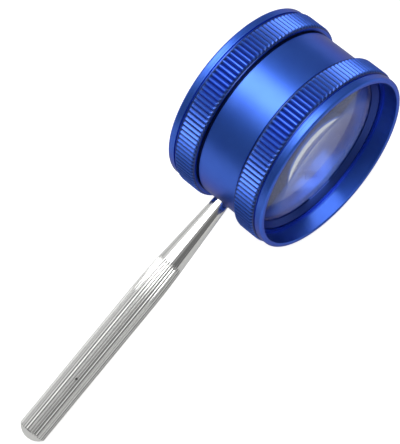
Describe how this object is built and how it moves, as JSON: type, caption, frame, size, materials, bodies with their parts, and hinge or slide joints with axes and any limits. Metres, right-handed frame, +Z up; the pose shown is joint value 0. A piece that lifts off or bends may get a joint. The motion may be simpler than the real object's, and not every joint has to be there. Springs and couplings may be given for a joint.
{
  "type": "handheld magnifying glass",
  "caption": "Two-lens hand magnifier: blue anodised barrel with knurled screw-in lens cells at both ends and a polished, tapered metal handle with a fluted grip, lying on its side.",
  "frame": {"origin": "under the middle of the whole outline, on the surface that the magnifier lies on", "axes": "+Z up; the optical axis lies level along Y, with the front lens facing -Y and the rear lens facing +Y; the handle points to -X and droops until its end touches the surface"},
  "size_m": [0.1434, 0.037, 0.06],
  "materials": {
    "blue_anodised": "satin",
    "optical_glass": "polished",
    "polished_steel": "polished"
  },
  "bodies": {
    "root": {"barrel": "blue_anodised", "front_cell": "blue_anodised", "rear_cell": "blue_anodised", "front_retainer": "blue_anodised", "rear_retainer": "blue_anodised", "front_lens": "optical_glass", "rear_lens": "optical_glass", "handle": "polished_steel"}
  },
  "joints": []
}
